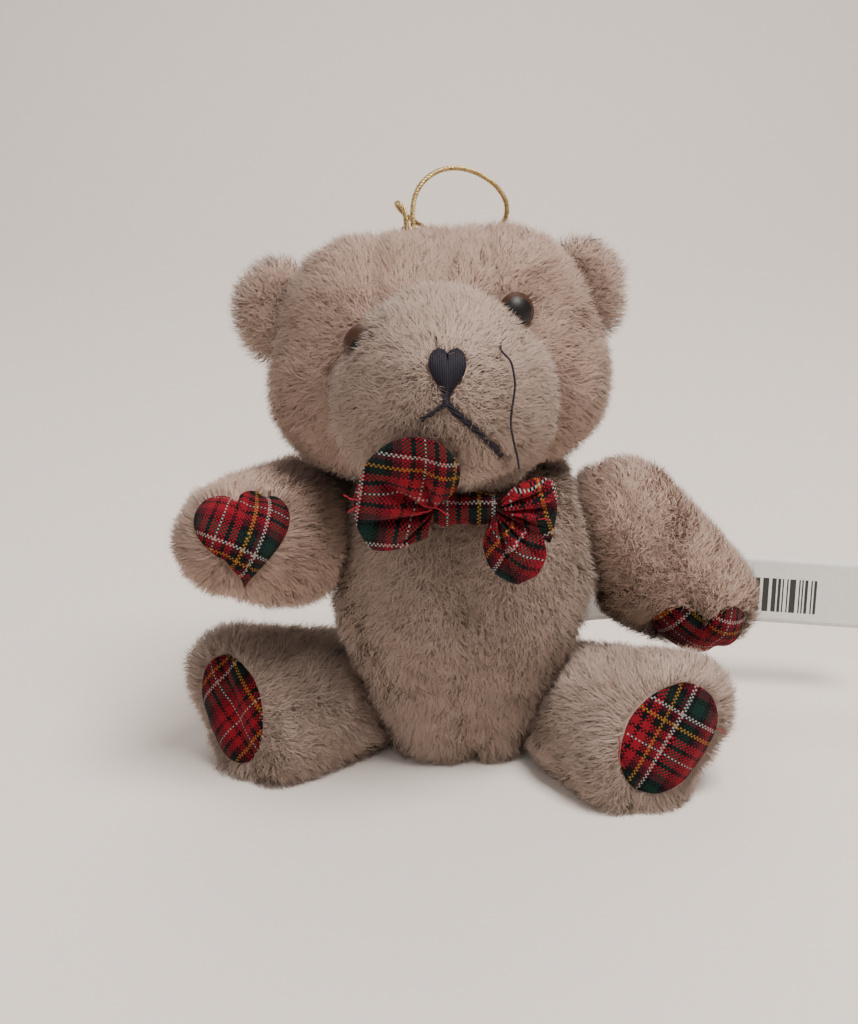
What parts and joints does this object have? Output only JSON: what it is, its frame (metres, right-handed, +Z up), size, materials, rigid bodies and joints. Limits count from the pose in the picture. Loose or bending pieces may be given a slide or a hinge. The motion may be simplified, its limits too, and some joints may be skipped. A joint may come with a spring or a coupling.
{
  "type": "plush bear keychain charm",
  "caption": "Small seated five-way jointed plush bear charm with a tartan bow, tartan paw and foot pads and a gold hanging loop on its head.",
  "frame": {"origin": "middle of the torso's flat seat, on the surface that the bear sits on", "axes": "+Z up, -Y the way the bear faces, +X the bear's left"},
  "size_m": [0.1255, 0.0565, 0.1061],
  "materials": {
    "plush": "beige short-pile plush",
    "light_plush": "lighter beige short-pile plush",
    "stuffing": "white polyester fibre fill",
    "tartan": "woven red, green and black tartan twill",
    "black_floss": "satin embroidery floss",
    "eye_plastic": "glossy brown with a black pupil",
    "gold_cord": "metallic braided gold thread",
    "label_satin": "white satin tape",
    "joint_plastic": "moulded white plastic",
    "lock_steel": "pressed spring steel"
  },
  "bodies": {
    "torso": {"torso_skin": "plush", "torso_stuffing": "stuffing", "neck_washer": "joint_plastic", "left_shoulder_washer": "joint_plastic", "right_shoulder_washer": "joint_plastic", "left_hip_washer": "joint_plastic", "right_hip_washer": "joint_plastic", "bow_left_loop": "tartan", "bow_right_loop": "tartan", "bow_knot": "tartan", "care_label": "label_satin"},
    "head": {"head_skin": "plush", "head_stuffing": "stuffing", "muzzle_panel": "light_plush", "left_ear": "plush", "right_ear": "plush", "left_eye": "eye_plastic", "right_eye": "eye_plastic", "left_eye_washer": "joint_plastic", "right_eye_washer": "joint_plastic", "nose": "black_floss", "mouth": "black_floss", "hanging_loop": "gold_cord", "loop_knot": "gold_cord", "loose_thread": "black_floss", "neck_stud": "joint_plastic", "neck_lock": "lock_steel"},
    "left_arm": {"left_arm_skin": "plush", "left_arm_stuffing": "stuffing", "left_paw_pad": "tartan", "left_arm_stud": "joint_plastic", "left_arm_lock": "lock_steel"},
    "left_leg": {"left_leg_skin": "light_plush", "left_leg_stuffing": "stuffing", "left_foot_pad": "tartan", "left_leg_stud": "joint_plastic", "left_leg_lock": "lock_steel"},
    "right_arm": {"right_arm_skin": "plush", "right_arm_stuffing": "stuffing", "right_paw_pad": "tartan", "right_arm_stud": "joint_plastic", "right_arm_lock": "lock_steel"},
    "right_leg": {"right_leg_skin": "light_plush", "right_leg_stuffing": "stuffing", "right_foot_pad": "tartan", "right_leg_stud": "joint_plastic", "right_leg_lock": "lock_steel"}
  },
  "joints": [
    {"name": "head_turn", "type": "hinge", "parent": "torso", "child": "head", "pos_m": [-0.0032, -0.004, 0.057], "axis": [-0.0698, 0, 0.9976], "range_deg": [-60, 60]},
    {"name": "left_shoulder", "type": "hinge", "parent": "torso", "child": "left_arm", "pos_m": [0.0205, -0.001, 0.0445], "axis": [-0.9659, 0, -0.2588], "range_deg": [-18, 112]},
    {"name": "right_shoulder", "type": "hinge", "parent": "torso", "child": "right_arm", "pos_m": [-0.0205, -0.001, 0.0445], "axis": [-0.9659, 0, 0.2588], "range_deg": [-40, 10]},
    {"name": "left_hip", "type": "hinge", "parent": "torso", "child": "left_leg", "pos_m": [0.01261, -0.00312, 0.014], "axis": [-0.9249, -0.0647, 0.3746], "range_deg": [-82, 0]},
    {"name": "right_hip", "type": "hinge", "parent": "torso", "child": "right_leg", "pos_m": [-0.01142, -0.00032, 0.014], "axis": [-0.8333, 0.4065, -0.3746], "range_deg": [-88, 0]}
  ]
}
